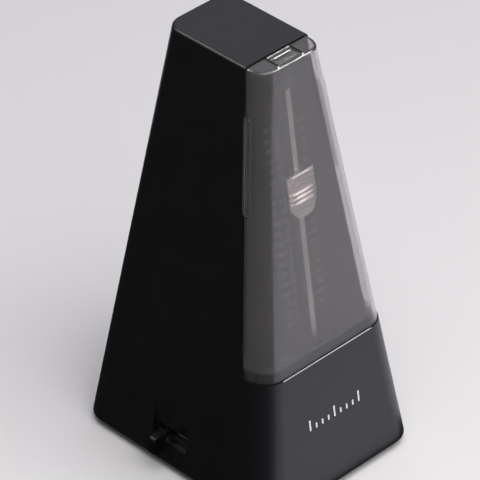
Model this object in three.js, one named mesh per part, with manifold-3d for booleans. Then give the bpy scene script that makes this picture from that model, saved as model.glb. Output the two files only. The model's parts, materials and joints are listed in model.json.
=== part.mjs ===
// Wind-up pyramid metronome, as an assembly of separate pieces.
// Millimetres, +Z up, origin on the floor under the middle of the case, front towards -Y.
import * as THREE from "three";
import { mergeVertices } from "three/addons/utils/BufferGeometryUtils.js";
import Module from "manifold-3d";

const wasm = await Module();
wasm.setup();

// ---------------------------------------------------------------- driving dimensions
const FOOT_HEIGHT = 4;            // the case's lower edge stands this far above the floor
const CASE_HEIGHT = 217;
const BASE_WIDTH = 100.5;         // X, at the case's lower edge
const BASE_DEPTH = 123.8;         // Y, at the case's lower edge
const TOP_WIDTH = 39.4;
const TOP_DEPTH = 61.6;
const TOP_SHIFT = 2.7;            // the top's middle lies this far behind the bottom's middle
const BASE_CORNER = 13.4;         // vertical corner radius at the bottom
const TOP_CORNER = 8.9;
const RIM_ROUND = 1.5;            // rounding of the top edge
const WALL = 2.2;                 // case wall
const GAP = 0.5;                  // shut line between lid and case
const CLEAR = 0.3;                // clearance between touching or running pieces
const ARC_STEPS = 6;              // segments of a quarter round

const SHELF = FOOT_HEIGHT + 66.6; // top of the lower front panel
const SEAM_FOOT = -43.8;          // Y of the lid's seam plane, at the case's lower edge
const SEAM_SLOPE = 0.123;         // the seam plane leans back by this much for each mm of height
const LID_WALL = 1.6;
const LID_INSET = 0.45;           // the lid's faces lie this far inside the case's
const LID_DROP = 0.7;             // its top lies this far below the case's
const LID_LOWER_ROUND = 4.6;      // rounding of the lid's lower side corners

const ROD_SLOPE = 0.1485;         // the pendulum's plane leans back, parallel to the front
const ROD_TILT = Math.atan(ROD_SLOPE);
const PIVOT = new THREE.Vector3(0, -45.1, 54);
const ROD_TOP = 151;              // along the rod, from the pivot
const ROD_TAIL = -45.6;
const ROD_WIDTH = 3;
const ROD_THICK = 1.2;
const PANEL_BEHIND_ROD = 4.15;    // from the rod's mid-plane to the scale panel's face
const PANEL_THICK = 1.6;
const WEIGHT_AT = 97.7;           // middle of the sliding weight, from the pivot
const COUNTERWEIGHT_AT = -30.5;
const COUNTERWEIGHT_R = 15.5;

const PLATE_X = 19.5;             // inner face of each movement plate
const PLATE_THICK = 1.5;
const BARREL = { y: 12, z: 36, teeth: 42, module: 0.95 };
const SECOND_PINION = { teeth: 10, module: 0.95 };
const SECOND_WHEEL = { teeth: 48, module: 0.75 };
const ESCAPE_PINION = { teeth: 10, module: 0.75 };
const FINE_TEETH = 12;            // gears up to this size get curved flanks
const BELL = { x: -4, y: 35, z: 61, radius: 14, height: 10 };
const HAMMER = { x: -33, z: 38, from: -23, to: 37 };
const LEVER_Y = 6.8;              // the beat lever's middle, with the bell switched off
const LEVER_STEP = 2.9;           // from there forward to each beat position in turn
const TAIL_Y = -1.5;              // the hammer tail's middle in the same position
const SLOT_Z = [17.3, 21.8];
const SLOT_Y = [-6.6, 12.5];
const RECESS = { x: -46.3, y: [-7.6, 14.6], z: [14.5, 35] };
const SIDE_REACH = 57.2;          // lever and key both end this far from the middle

const part = new THREE.Group();

// ---------------------------------------------------------------- materials
const FINISH = {
  black: { color: 0x151518, roughness: 0.45, metalness: 0 },
  smoke: { color: 0x55555c, roughness: 0.35, metalness: 0 },
  rubber: { color: 0x202020, roughness: 0.9, metalness: 0 },
  steel: { color: 0xb8b8ba, roughness: 0.35, metalness: 1 },
  dark_steel: { color: 0x6c6c70, roughness: 0.5, metalness: 1 },
  brass: { color: 0xb99a52, roughness: 0.35, metalness: 1 },
  aluminium: { color: 0xc9c6c4, roughness: 0.4, metalness: 1 },
};

// ---------------------------------------------------------------- solids
function toSolid(geometry) {
  const bare = new THREE.BufferGeometry();
  bare.setAttribute("position", geometry.getAttribute("position").clone());
  if (geometry.index) bare.setIndex(geometry.index);
  const merged = mergeVertices(bare, 1e-4);
  const points = merged.getAttribute("position").array;
  const triangles = [];
  let volume = 0;
  const corner = [new THREE.Vector3(), new THREE.Vector3(), new THREE.Vector3()];
  for (let i = 0; i < merged.index.count; i += 3) {
    const [a, b, c] = [0, 1, 2].map((k) => merged.index.getX(i + k));
    if (a === b || b === c || a === c) continue;
    [a, b, c].forEach((v, k) => corner[k].fromArray(points, 3 * v));
    volume += corner[0].dot(corner[1].clone().cross(corner[2]));
    triangles.push([a, b, c]);
  }
  const facing = triangles.flatMap(([a, b, c]) => (volume > 0 ? [a, b, c] : [a, c, b]));
  const mesh = new wasm.Mesh({
    numProp: 3,
    vertProperties: new Float32Array(points),
    triVerts: new Uint32Array(facing),
  });
  return new wasm.Manifold(mesh);
}

function toGeometry(manifold) {
  const mesh = manifold.getMesh();
  const geometry = new THREE.BufferGeometry();
  const points = new Float32Array((mesh.vertProperties.length / mesh.numProp) * 3);
  for (let i = 0; i < points.length / 3; i += 1) {
    for (let k = 0; k < 3; k += 1) points[3 * i + k] = mesh.vertProperties[i * mesh.numProp + k];
  }
  geometry.setAttribute("position", new THREE.BufferAttribute(points, 3));
  geometry.setIndex(new THREE.BufferAttribute(new Uint32Array(mesh.triVerts), 1));
  return geometry;
}

function add(name, manifold, finish, parent = part) {
  const geometry = toGeometry(manifold);
  geometry.computeVertexNormals();
  const mesh = new THREE.Mesh(geometry, new THREE.MeshStandardMaterial(FINISH[finish]));
  mesh.name = name;
  parent.add(mesh);
  return mesh;
}

function union(...solids) {
  return solids.reduce((whole, next) => whole.add(next));
}

function box(x, y, z) {
  const geometry = new THREE.BoxGeometry(x[1] - x[0], y[1] - y[0], z[1] - z[0]);
  geometry.translate((x[0] + x[1]) / 2, (y[0] + y[1]) / 2, (z[0] + z[1]) / 2);
  return toSolid(geometry);
}

// Turn a solid made about the Y axis so that it lies along X, Y or Z.
function alongAxis(geometry, axis) {
  if (axis === "x") geometry.rotateZ(-Math.PI / 2);
  if (axis === "z") geometry.rotateX(Math.PI / 2);
  return geometry;
}

function rod(radius, from, to, axis, at = [0, 0], sides = 14) {
  const geometry = new THREE.CylinderGeometry(radius, radius, to - from, sides);
  geometry.translate(0, (from + to) / 2, 0);
  return toSolid(placeAcross(alongAxis(geometry, axis), axis, at));
}

// A turned piece: profile points are [radius, position along the axis].
function turned(profile, axis, at = [0, 0], sides = 20) {
  const points = profile.map(([r, t]) => new THREE.Vector2(r, t));
  const geometry = new THREE.LatheGeometry(points, sides);
  return toSolid(placeAcross(alongAxis(geometry, axis), axis, at));
}

function placeAcross(geometry, axis, [a, b]) {
  if (axis === "x") geometry.translate(0, a, b);
  if (axis === "y") geometry.translate(a, 0, b);
  if (axis === "z") geometry.translate(a, b, 0);
  return geometry;
}

function ring(outer, inner, from, to, axis, at = [0, 0], sides = 16) {
  const bore = rod(inner, from - 1, to + 1, axis, at, sides);
  return rod(outer, from, to, axis, at, sides).subtract(bore);
}

// A flat outline of [y, z] points, from x0 to x1.
function plateAlongX(outline, x0, x1) {
  const shape = new THREE.Shape(outline.map(([y, z]) => new THREE.Vector2(y, z)));
  const geometry = new THREE.ExtrudeGeometry(shape, { depth: x1 - x0, bevelEnabled: false });
  const axes = new THREE.Matrix4().makeBasis(
    new THREE.Vector3(0, 1, 0),
    new THREE.Vector3(0, 0, 1),
    new THREE.Vector3(1, 0, 0),
  );
  geometry.applyMatrix4(axes);
  geometry.translate(x0, 0, 0);
  return toSolid(geometry);
}

// A flat outline of [x, z] points, from y0 to y1.
function plateAlongY(outline, y0, y1) {
  const shape = new THREE.Shape(outline.map(([x, z]) => new THREE.Vector2(x, z)));
  const geometry = new THREE.ExtrudeGeometry(shape, { depth: y1 - y0, bevelEnabled: false });
  geometry.rotateX(Math.PI / 2);
  geometry.translate(0, y1, 0);
  return toSolid(geometry);
}

// ---------------------------------------------------------------- the case's tapering form
function taper(bottom, top, height) {
  return bottom + ((top - bottom) * height) / CASE_HEIGHT;
}

// Points of the rounded rectangle at a height above the case's lower edge, moved in by inset.
function caseRing(height, inset) {
  const halfX = taper(BASE_WIDTH, TOP_WIDTH, height) / 2 - inset;
  const halfY = taper(BASE_DEPTH, TOP_DEPTH, height) / 2 - inset;
  const middle = taper(0, TOP_SHIFT, height);
  const radius = Math.max(taper(BASE_CORNER, TOP_CORNER, height) - inset, 0.5);
  const corners = [[1, 1, 0], [-1, 1, 1], [-1, -1, 2], [1, -1, 3]];
  const ringPoints = [];
  for (const [sx, sy, quarter] of corners) {
    for (let i = 0; i <= ARC_STEPS; i += 1) {
      const angle = ((quarter + i / ARC_STEPS) * Math.PI) / 2;
      const x = sx * (halfX - radius) + radius * Math.cos(angle);
      const y = middle + sy * (halfY - radius) + radius * Math.sin(angle);
      ringPoints.push([x, y, FOOT_HEIGHT + height]);
    }
  }
  return ringPoints;
}

function loft(rings) {
  const count = rings[0].length;
  const points = rings.flat(2);
  const triangles = [];
  for (let level = 0; level + 1 < rings.length; level += 1) {
    for (let i = 0; i < count; i += 1) {
      const a = level * count + i;
      const b = level * count + ((i + 1) % count);
      triangles.push(a, b, a + count, b, b + count, a + count);
    }
  }
  const last = (rings.length - 1) * count;
  for (let i = 1; i + 1 < count; i += 1) {
    triangles.push(0, i + 1, i, last, last + i, last + i + 1);
  }
  const geometry = new THREE.BufferGeometry();
  geometry.setAttribute("position", new THREE.BufferAttribute(new Float32Array(points), 3));
  geometry.setIndex(triangles);
  return toSolid(geometry);
}

// The whole pyramid, moved in by inset, with its top edge rounded.
function pyramid(inset, bottom, top, round) {
  const rings = [caseRing(bottom, inset)];
  const steps = round > 0 ? 3 : 0;
  rings.push(caseRing(top - round, inset));
  for (let i = 1; i <= steps; i += 1) {
    const angle = ((i / steps) * Math.PI) / 2;
    const drop = round * (1 - Math.sin(angle));
    rings.push(caseRing(top - drop, inset + round * (1 - Math.cos(angle))));
  }
  return loft(rings);
}

const OUTER = pyramid(0, 0, CASE_HEIGHT, RIM_ROUND);

function halfWidth(z, inset) {
  return taper(BASE_WIDTH, TOP_WIDTH, z - FOOT_HEIGHT) / 2 - inset;
}

function seamY(z) {
  return SEAM_FOOT + SEAM_SLOPE * (z - FOOT_HEIGHT);
}

// Everything in front of the seam plane and above the shelf, shrunk by margin.
function lidZone(margin) {
  const low = SHELF + margin;
  const high = FOOT_HEIGHT + CASE_HEIGHT + 10;
  const round = LID_LOWER_ROUND;
  const outline = [[-80, low]];
  const cornerY = seamY(low) - margin;
  for (let i = 0; i <= ARC_STEPS; i += 1) {
    const angle = (i / ARC_STEPS) * (Math.PI / 2);
    outline.push([cornerY - round + round * Math.sin(angle), low + round * (1 - Math.cos(angle))]);
  }
  outline.push([seamY(high) - margin, high], [-80, high]);
  return plateAlongX(outline, -60, 60);
}

// ---------------------------------------------------------------- case
function mainCase() {
  const hollow = pyramid(WALL, -1, CASE_HEIGHT - 2.6, 0);
  const boss = box([-48, -43.9], [-12, 19], [8.5, 39]).intersect(pyramid(0.4, 1, 60, 0));
  let shell = OUTER.subtract(hollow).add(boss);
  shell = shell.subtract(lidZone(0));
  const shelf = pyramid(0.5, SHELF - FOOT_HEIGHT - 2.4, SHELF - FOOT_HEIGHT, 0)
    .intersect(box([-60, 60], [-80, -39.2], [0, SHELF]));
  const lipInset = LID_INSET + LID_WALL + 0.4;
  const lipRing = pyramid(lipInset, 60, 71, 0).subtract(pyramid(lipInset + 1.3, 50, 80, 0));
  const lip = lipRing.intersect(box([-60, 60], [-80, -43], [SHELF - 1, SHELF + 4.4]));
  shell = union(shell, shelf, lip);
  const rodSlot = box([-14, 14], [-46, -40.4], [SHELF - 6, SHELF + 2]);
  const recess = box([-60, RECESS.x], RECESS.y, RECESS.z);
  const leverSlot = box([-60, -40], SLOT_Y, SLOT_Z);
  const keyHole = rod(4.7, 40, 60, "x", [BARREL.y, BARREL.z], 24);
  return shell.subtract(rodSlot).subtract(recess).subtract(leverSlot).subtract(keyHole);
}

function frontLid() {
  const lidTop = CASE_HEIGHT - LID_DROP;
  const outside = pyramid(LID_INSET, 50, lidTop, RIM_ROUND);
  const hollow = pyramid(LID_INSET + LID_WALL, 40, lidTop - LID_WALL, 0);
  let lid = outside.subtract(hollow).intersect(lidZone(GAP));
  // Finger-grip ribs, just in front of the seam.
  const proud = 0.85;
  const ribWidth = 4;
  const low = FOOT_HEIGHT + 147.5;
  const high = FOOT_HEIGHT + 193.8;
  const outline = [
    [seamY(low) - GAP, low],
    [seamY(high) - GAP, high],
    [seamY(high) - GAP - ribWidth, high],
    [seamY(low) - GAP - ribWidth, low],
  ];
  const core = pyramid(LID_INSET + LID_WALL / 2, 130, 210, 0);
  const ribs = pyramid(-proud, 140, 200, 0).subtract(core).intersect(plateAlongX(outline, -60, 60));
  lid = lid.add(ribs);
  // The sprung tongue on top, between two slits, with its raised bar.
  const top = FOOT_HEIGHT + lidTop;
  for (const x of [-7.6, 7.6]) {
    lid = lid.subtract(box([x - 0.4, x + 0.4], [-25.9, -10], [top - 4, top + 4]));
  }
  lid = lid.subtract(box([-7, 7], [-23.9, -20.4], [top - 0.5, top + 4]));
  lid = lid.subtract(box([-7, 7], [-25.1, -24.6], [top - 0.5, top + 4]));
  return lid;
}

// The front face of the scale panel, parallel to the pendulum's plane.
function panelFaceY(z) {
  return PIVOT.y + PANEL_BEHIND_ROD + ROD_SLOPE * (z - PIVOT.z);
}

function scalePanel() {
  const low = SHELF - 9;
  const high = FOOT_HEIGHT + CASE_HEIGHT - 4;
  const face = [[panelFaceY(low), low], [panelFaceY(high), high]];
  const rear = face.map(([y, z]) => [y + PANEL_THICK, z]).reverse();
  const slab = plateAlongX([...face, ...rear], -60, 60);
  return slab.intersect(pyramid(WALL + CLEAR, 20, CASE_HEIGHT - 2.6 - CLEAR, 0));
}

function basePlate() {
  let plate = pyramid(WALL + CLEAR, 0.6, 3, 0);
  for (const [x, y] of footPlaces()) {
    plate = plate.subtract(rod(1.9, 0, 10, "z", [x, y], 10));
  }
  return plate;
}

function footPlaces() {
  return [[-33, -46], [33, -46], [-33, 46], [33, 46]];
}

// A rubber foot with a counterbore for its screw.
function foot(x, y) {
  const profile = [[0, 0], [6, 0], [6.8, 0.8], [6.8, 4.3], [0, 4.3]];
  const counterbore = rod(3.4, -1, 2.2, "z", [x, y], 10);
  return turned(profile, "z", [x, y], 16).subtract(counterbore).subtract(rod(1.9, 0, 6, "z", [x, y], 10));
}

function footScrew(x, y) {
  return turned([[0, 0.4], [2.8, 0.4], [3, 0.7], [3, 1.9], [1.5, 1.9], [1.5, 8], [1, 9], [0, 9]],
    "z", [x, y], 10);
}

// A small block with a notch that takes the rod's upper end.
function rodCatch() {
  const z = FOOT_HEIGHT + 199.8;
  const back = panelFaceY(z) - CLEAR - 0.5;
  const block = box([-5, 5], [back - 2.1, back], [z - 3.2, z + 3.2]);
  return block.subtract(box([-2.1, 2.1], [back - 6, back - 1], [z - 6, z + 6]));
}

add("main_case", mainCase(), "black");
add("front_lid", frontLid(), "smoke");
add("scale_panel", scalePanel(), "black");
add("base_plate", basePlate(), "black");
const CORNER_NAMES = ["front_left", "front_right", "back_left", "back_right"];
footPlaces().forEach(([x, y], i) => {
  add(`foot_${CORNER_NAMES[i]}`, foot(x, y), "rubber");
  add(`foot_screw_${CORNER_NAMES[i]}`, footScrew(x, y), "steel");
});
add("rod_catch", rodCatch(), "black");

// ---------------------------------------------------------------- pendulum
// Its own frame: origin at the pivot on the rod's mid-plane, +Z up the rod, +Y back along the arbor.
const pendulum = new THREE.Group();
pendulum.position.copy(PIVOT);
pendulum.rotation.x = -ROD_TILT;
part.add(pendulum);

const ARBOR_R = 1.5;
const PALLETS = [{ name: "left_pallet", side: -1, from: 20 }, { name: "right_pallet", side: 1, from: 26 }];

function pendulumRod() {
  const strip = box([-ROD_WIDTH / 2, ROD_WIDTH / 2], [-ROD_THICK / 2, ROD_THICK / 2],
    [ROD_TAIL, ROD_TOP]);
  const eye = rod(4.2, -ROD_THICK / 2, ROD_THICK / 2, "y");
  const bore = rod(ARBOR_R + CLEAR, -5, 5, "y");
  return strip.add(eye).subtract(bore);
}

function counterweight() {
  const disc = turned(
    [[0, -4.5], [COUNTERWEIGHT_R - 1, -4.5], [COUNTERWEIGHT_R, -3.5], [COUNTERWEIGHT_R, 3.5],
      [COUNTERWEIGHT_R - 1, 4.5], [0, 4.5]],
    "y", [0, COUNTERWEIGHT_AT], 28,
  );
  const slot = box([-ROD_WIDTH / 2 - CLEAR, ROD_WIDTH / 2 + CLEAR],
    [-ROD_THICK / 2 - CLEAR, ROD_THICK / 2 + CLEAR], [-60, 0]);
  return disc.subtract(slot);
}

// The shield-shaped weight: a thick middle on the rod, thin wings, and three ridges for the fingers.
const WEIGHT = { half: 8.4, flat: 4.85, above: 12, below: 12, shoulder: -2.9, front: -3.9, wing: -3.25 };
const RIDGES = [3.25, 0.8, -1.7];

function slidingWeight() {
  const { half, flat, above, below, shoulder, front, wing } = WEIGHT;
  const outline = [[-half, WEIGHT_AT + above]];
  const steps = 2 * ARC_STEPS;
  for (let i = 0; i <= steps; i += 1) {
    const angle = Math.PI + (Math.PI * i) / steps;
    outline.push([half * Math.cos(angle),
      WEIGHT_AT + shoulder + (below + shoulder) * Math.sin(angle)]);
  }
  outline.push([half, WEIGHT_AT + above]);
  const section = [[-flat, front], [flat, front], [half, wing], [half, wing + 1], [4.6, -1.6], [4.6, 2.4],
    [-4.6, 2.4], [-4.6, -1.6], [-half, wing + 1], [-half, wing]];
  const ridgeSection = [[-flat, front - 0.55], [flat, front - 0.55], [half, wing - 0.55], [half, wing + 0.5],
    [-half, wing + 0.5], [-half, wing - 0.55]];
  const profile = [[-6, WEIGHT_AT - below - 1], [4, WEIGHT_AT - below - 1], [4, WEIGHT_AT + above],
    [front + 0.8, WEIGHT_AT + above], [-6, WEIGHT_AT + above - 2.9]];
  let weight = plateAlongZ(section, WEIGHT_AT - below - 1, WEIGHT_AT + above + 1);
  weight = weight.intersect(plateAlongX(profile, -10, 10));
  for (const height of RIDGES) {
    const z = WEIGHT_AT + height;
    weight = weight.add(plateAlongZ(ridgeSection, z - 0.6, z + 0.6));
  }
  weight = weight.intersect(plateAlongY(outline, -6, 4));
  const slot = box([-ROD_WIDTH / 2 - CLEAR, ROD_WIDTH / 2 + CLEAR],
    [-ROD_THICK / 2 - CLEAR, ROD_THICK / 2 + CLEAR + 0.7], [0, 200]);
  return weight.subtract(slot);
}

// A flat outline of [x, y] points, from z0 to z1.
function plateAlongZ(outline, z0, z1) {
  const shape = new THREE.Shape(outline.map(([x, y]) => new THREE.Vector2(x, y)));
  const geometry = new THREE.ExtrudeGeometry(shape, { depth: z1 - z0, bevelEnabled: false });
  geometry.translate(0, 0, z0);
  return toSolid(geometry);
}

// The leaf that presses on the rod's back, inside the sliding weight.
function weightSpring() {
  const z = WEIGHT_AT;
  return plateAlongX([[1.2, z - 8], [1.45, z - 8], [1, z], [1.45, z + 8], [1.2, z + 8], [0.75, z]],
    -1.2, 1.2);
}

function pallet(side, from) {
  const collar = rod(3.2, from, from + 2.5, "y");
  const blade = box(side > 0 ? [2.2, 3.4] : [-3.4, -2.2], [from, from + 2.5], [-7.4, 0]);
  return collar.add(blade).subtract(rod(ARBOR_R + CLEAR, 0, 60, "y"));
}

function bearing(from, to, outline) {
  return plateAlongY(outline, from, to).subtract(rod(ARBOR_R + CLEAR, 0, 60, "y"));
}

add("pendulum_rod", pendulumRod(), "aluminium", pendulum);
add("pendulum_arbor", rod(ARBOR_R, -2.6, 35, "y"), "steel", pendulum);
add("rod_nut", ring(3.1, ARBOR_R + CLEAR, -2.4, -0.9, "y", [0, 0], 6), "brass", pendulum);
add("rod_collar", ring(4.5, ARBOR_R + CLEAR, 0.9, 4.4, "y"), "brass", pendulum);
add("counterweight", counterweight(), "dark_steel", pendulum);
add("sliding_weight", slidingWeight(), "aluminium", pendulum);
add("weight_spring", weightSpring(), "steel", pendulum);
for (const { name, side, from } of PALLETS) {
  add(name, pallet(side, from), "steel", pendulum);
}
const FRONT_BEARING = [[-PLATE_X + CLEAR, -6], [PLATE_X - CLEAR, -6], [PLATE_X - CLEAR, 6],
  [-PLATE_X + CLEAR, 6]];
const REAR_BEARING = [[-PLATE_X + CLEAR, -3.2], [4, -3.2], [4, 5], [-PLATE_X + CLEAR, 5]];
add("front_bearing_plate", bearing(8, 9.5, FRONT_BEARING), "brass", pendulum);
add("rear_cock", bearing(31, 32.5, REAR_BEARING), "brass", pendulum);

// ---------------------------------------------------------------- gear train
const PRESSURE_ANGLE = (20 * Math.PI) / 180;
const BACKLASH = 0.16;            // in modules
// The outline of a spur gear, as [y, z] points about a centre. The flanks are involutes, with a
// point at the pitch circle on the small pinions.
function gearOutline(teeth, module, phase) {
  const pitch = (teeth * module) / 2;
  const base = pitch * Math.cos(PRESSURE_ANGLE);
  const tip = pitch + 0.85 * module;
  const root = pitch - 1.25 * module;
  const involute = (r) => {
    const angle = Math.acos(Math.min(1, base / r));
    return Math.tan(angle) - angle;
  };
  const halfTooth = ((Math.PI / 2 - BACKLASH) * module) / (2 * pitch);
  const radii = teeth <= FINE_TEETH ? [root, base, pitch, tip] : [root, tip];
  const flank = radii.map((r) => [r, halfTooth + involute(pitch) - involute(r)]);
  const points = [];
  for (let i = 0; i < teeth; i += 1) {
    const middle = phase + (2 * Math.PI * i) / teeth;
    flank.forEach(([r, half]) => points.push([r, middle - half]));
    flank.toReversed().forEach(([r, half]) => points.push([r, middle + half]));
  }
  return points.map(([r, angle]) => [r * Math.cos(angle), r * Math.sin(angle)]);
}

function gear({ teeth, module }, centre, phase, x0, x1) {
  const outline = gearOutline(teeth, module, phase);
  return plateAlongX(outline.map(([y, z]) => [y + centre.y, z + centre.z]), x0, x1);
}

// A ratchet outline: each tooth rises slowly and drops at once.
function ratchetOutline(teeth, tip, root, direction, centre) {
  const points = [];
  for (let i = 0; i < teeth; i += 1) {
    const start = (direction * 2 * Math.PI * i) / teeth;
    const end = start + (direction * 2 * Math.PI * 0.86) / teeth;
    points.push([root * Math.cos(start), root * Math.sin(start)]);
    points.push([tip * Math.cos(end), tip * Math.sin(end)]);
  }
  if (direction < 0) points.reverse();
  return points.map(([y, z]) => [y + centre.y, z + centre.z]);
}

function pitchRadius({ teeth, module }) {
  return (teeth * module) / 2;
}

const barrelToSecond = pitchRadius(BARREL) + pitchRadius(SECOND_PINION);
const secondToEscape = pitchRadius(SECOND_WHEEL) + pitchRadius(ESCAPE_PINION);
const SECOND_BEARING = (136.5 * Math.PI) / 180;   // direction from the barrel to the second arbor
const ESCAPE_BEARING = (225 * Math.PI) / 180;     // direction from the second arbor to the next
const SECOND = {
  y: BARREL.y + barrelToSecond * Math.cos(SECOND_BEARING),
  z: BARREL.z + barrelToSecond * Math.sin(SECOND_BEARING),
};
const ESCAPE = {
  y: SECOND.y + secondToEscape * Math.cos(ESCAPE_BEARING),
  z: SECOND.z + secondToEscape * Math.sin(ESCAPE_BEARING),
};
const at = ({ y, z }) => [y, z];
const PIVOT_R = 1.2;
const PIVOT_HOLE_R = PIVOT_R + 0.25;
const BARREL_ARBOR_R = 3;

// Holes around a centre that lighten a wheel.
function lighten(wheel, centre, ringRadius, holeRadius, count, x0, x1) {
  let cut = wheel;
  for (let i = 0; i < count; i += 1) {
    const angle = (2 * Math.PI * (i + 0.5)) / count;
    const place = [centre.y + ringRadius * Math.cos(angle), centre.z + ringRadius * Math.sin(angle)];
    cut = cut.subtract(rod(holeRadius, x0 - 1, x1 + 1, "x", place, 10));
  }
  return cut;
}

function mainspringBarrel() {
  const wheel = gear(BARREL, BARREL, SECOND_BEARING, -15, -12.5);
  const drum = rod(17, -13, 8, "x", at(BARREL), 32).subtract(rod(16, -12.2, 9, "x", at(BARREL), 32));
  return wheel.add(drum).subtract(rod(BARREL_ARBOR_R + CLEAR, -20, 20, "x", at(BARREL)));
}

function barrelCover() {
  return ring(16.6, BARREL_ARBOR_R + CLEAR, 8.3, 9.6, "x", at(BARREL), 24);
}

// The coiled strip between the barrel's wall and its arbor.
function mainspring() {
  const turns = 4;
  const stepsPerTurn = 14;
  const steps = stepsPerTurn * turns;
  const halfStrip = 0.45;
  const outer = [];
  const inner = [];
  for (let i = 0; i <= steps; i += 1) {
    const angle = (2 * Math.PI * i) / stepsPerTurn;
    const radius = 4.8 + (10.4 * i) / steps;
    const [c, s] = [Math.cos(angle), Math.sin(angle)];
    outer.push([BARREL.y + (radius + halfStrip) * c, BARREL.z + (radius + halfStrip) * s]);
    inner.push([BARREL.y + (radius - halfStrip) * c, BARREL.z + (radius - halfStrip) * s]);
  }
  return plateAlongX([...outer, ...inner.reverse()], -11.6, 7.4);
}

function barrelArbor() {
  const profile = [[0, -PLATE_X - PLATE_THICK], [PIVOT_R, -PLATE_X - PLATE_THICK],
    [PIVOT_R, -PLATE_X + 0.4], [BARREL_ARBOR_R, -PLATE_X + 0.4], [BARREL_ARBOR_R, 41.5], [0, 41.5]];
  return turned(profile, "x", at(BARREL), 14);
}

const RATCHET_X = [PLATE_X + PLATE_THICK + 0.6, PLATE_X + PLATE_THICK + 2.6];
const RATCHET_R = 9;

function ratchetWheel() {
  const blank = plateAlongX(ratchetOutline(18, RATCHET_R, 7.4, 1, BARREL), ...RATCHET_X);
  return blank.subtract(rod(BARREL_ARBOR_R + CLEAR, 0, 40, "x", at(BARREL)));
}

const CLICK_PIN = { y: 24.5, z: 49 };

function click() {
  const reach = RATCHET_R + 0.35;
  const towards = Math.atan2(CLICK_PIN.z - BARREL.z, CLICK_PIN.y - BARREL.y) + 0.5;
  const tip = [BARREL.y + reach * Math.cos(towards), BARREL.z + reach * Math.sin(towards)];
  const outline = [tip, [CLICK_PIN.y + 2, CLICK_PIN.z - 2], [CLICK_PIN.y + 3.2, CLICK_PIN.z + 1],
    [CLICK_PIN.y + 1, CLICK_PIN.z + 3], [CLICK_PIN.y - 2, CLICK_PIN.z + 2.4], [tip[0] - 0.6, tip[1] + 1.6]];
  const blade = plateAlongX(outline.reverse(), ...RATCHET_X);
  return blade.subtract(rod(1.3, 0, 40, "x", at(CLICK_PIN), 16));
}

function clickScrew() {
  const face = PLATE_X + PLATE_THICK;
  const profile = [[0, face + CLEAR], [1, face + CLEAR], [1, RATCHET_X[1] + CLEAR],
    [2.4, RATCHET_X[1] + CLEAR], [2.4, RATCHET_X[1] + 1.5], [0, RATCHET_X[1] + 1.5]];
  return turned(profile, "x", at(CLICK_PIN), 16);
}

// A bent leaf that presses on the click's back.
function clickSpring() {
  const y = CLICK_PIN.y;
  const z = CLICK_PIN.z;
  const outline = [[y - 12, z + 8], [y - 4, z + 7.4], [y + 0.4, z + 3.9], [y + 0.4, z + 4.5],
    [y - 3.8, z + 8], [y - 12, z + 8.6]];
  return plateAlongX(outline, RATCHET_X[0], RATCHET_X[1]);
}

function secondWheel() {
  const wheelX = [12, 14];
  const phase = SECOND_BEARING + Math.PI + Math.PI / SECOND_PINION.teeth;
  let wheel = gear(SECOND_WHEEL, SECOND, ESCAPE_BEARING, ...wheelX);
  wheel = lighten(wheel, SECOND, 10.4, 3.9, 5, ...wheelX);
  const pinion = gear(SECOND_PINION, SECOND, phase, -15.4, -12.1);
  const arbor = arborAlongX(SECOND, -PLATE_X - PLATE_THICK, PLATE_X + PLATE_THICK);
  return union(wheel, pinion, arbor);
}

// An arbor between the plates with thinner pivots in their holes.
function arborAlongX(place, from, to) {
  const shoulder = PLATE_X - 0.4;
  return turned([[0, from], [PIVOT_R, from], [PIVOT_R, -shoulder], [2, -shoulder], [2, shoulder],
    [PIVOT_R, shoulder], [PIVOT_R, to], [0, to]], "x", at(place), 10);
}

const BEAT_WHEEL_X = -25.6;       // outer face of the beat wheel's disc, beside the left plate
const BEAT_WHEEL_R = 20;
// Each ring of pins lies under the hammer's tail at one step of the lever.
const BEAT_RINGS = [12, 8, 6, 4].map((pins, i) => (
  { pins, radius: TAIL_Y - ESCAPE.y - LEVER_STEP * (i + 1) }
));

function escapeWheel() {
  const wheel = plateAlongX(ratchetOutline(15, 9, 6.8, 1, ESCAPE), -0.6, 0.6);
  const pinion = gear(ESCAPE_PINION, ESCAPE, ESCAPE_BEARING + Math.PI + Math.PI / ESCAPE_PINION.teeth,
    11.6, 14.4);
  const arbor = arborAlongX(ESCAPE, BEAT_WHEEL_X - 1.2, PLATE_X + PLATE_THICK);
  return union(wheel, pinion, arbor);
}

// The disc whose rings of pins knock the hammer's tail once in 2, 3, 4 or 6 beats.
function beatWheel() {
  let wheel = rod(BEAT_WHEEL_R, BEAT_WHEEL_X, BEAT_WHEEL_X + 1.6, "x", at(ESCAPE), 28);
  for (const { radius, pins } of BEAT_RINGS) {
    for (let i = 0; i < pins; i += 1) {
      const angle = (2 * Math.PI * (i + 0.5)) / pins;
      const place = [ESCAPE.y + radius * Math.cos(angle), ESCAPE.z + radius * Math.sin(angle)];
      wheel = wheel.add(rod(0.7, BEAT_WHEEL_X - 2.4, BEAT_WHEEL_X + 0.5, "x", place, 5));
    }
  }
  return wheel.subtract(rod(PIVOT_R + CLEAR, -40, 0, "x", at(ESCAPE), 12));
}

// ---------------------------------------------------------------- movement plates
const PILLARS = [[-33, 12], [30, 13], [-30, 67], [29.5, 54]];

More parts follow.
